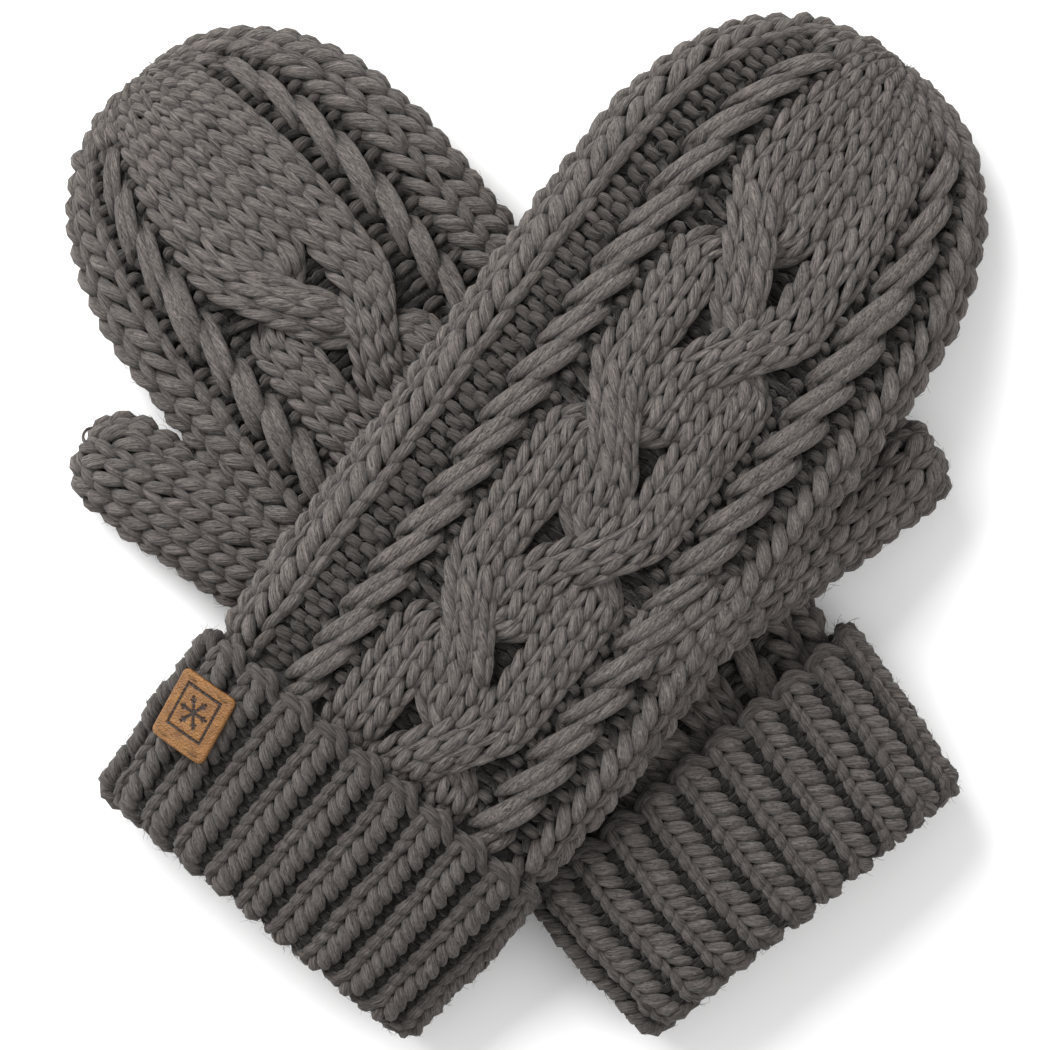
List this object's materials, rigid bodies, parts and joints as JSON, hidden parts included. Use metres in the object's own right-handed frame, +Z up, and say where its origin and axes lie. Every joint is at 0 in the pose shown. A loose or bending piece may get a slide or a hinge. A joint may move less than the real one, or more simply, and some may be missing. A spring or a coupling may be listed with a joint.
{
  "type": "knitted mittens",
  "caption": "Pair of lined cable-knit mittens lying crossed, with plaited cable backs, turned-up ribbed cuffs, swinging thumbs and a plain leather tag.",
  "frame": {"origin": "on the table, under the middle of the box that holds both mittens as they lie", "axes": "+Z up from the table, +Y towards the fingertips, +X to the wearer's right as the backs of the hands are seen"},
  "size_m": [0.2368, 0.2629, 0.0545],
  "materials": {
    "knit_yarn": "soft roving yarn, chunky cable knit",
    "rib_yarn": "soft roving yarn, one-by-one rib",
    "fleece_lining": "short soft fleece pile",
    "tag_leather": "tan leather, dark pressed motif",
    "tag_thread": "waxed sewing thread"
  },
  "bodies": {
    "right_mitten": {"right_hand_knit": "knit_yarn", "right_wrist_rib": "rib_yarn", "right_turned_cuff": "rib_yarn", "right_hand_lining": "fleece_lining", "right_lining_hem": "fleece_lining", "right_tip_gather": "knit_yarn"},
    "right_thumb": {"right_thumb_knit": "knit_yarn", "right_thumb_lining": "fleece_lining", "right_thumb_gather": "knit_yarn"},
    "left_mitten": {"left_hand_knit": "knit_yarn", "left_wrist_rib": "rib_yarn", "left_turned_cuff": "rib_yarn", "left_hand_lining": "fleece_lining", "left_lining_hem": "fleece_lining", "left_tip_gather": "knit_yarn", "leather_tag": "tag_leather", "tag_stitches": "tag_thread"},
    "left_thumb": {"left_thumb_knit": "knit_yarn", "left_thumb_lining": "fleece_lining", "left_thumb_gather": "knit_yarn"}
  },
  "joints": [
    {"name": "left_mitten_lift", "type": "slide", "parent": "right_mitten", "child": "left_mitten", "axis": [0, 0, 1], "range_m": [0, 0.12]},
    {"name": "right_thumb_swing", "type": "hinge", "parent": "right_mitten", "child": "right_thumb", "pos_m": [-0.0373, -0.0308, 0.0112], "axis": [0, 0, 1], "range_deg": [0, 20]},
    {"name": "left_thumb_swing", "type": "hinge", "parent": "left_mitten", "child": "left_thumb", "pos_m": [0.0282, -0.0312, 0.0412], "axis": [0, 0, -1], "range_deg": [0, 20]}
  ]
}
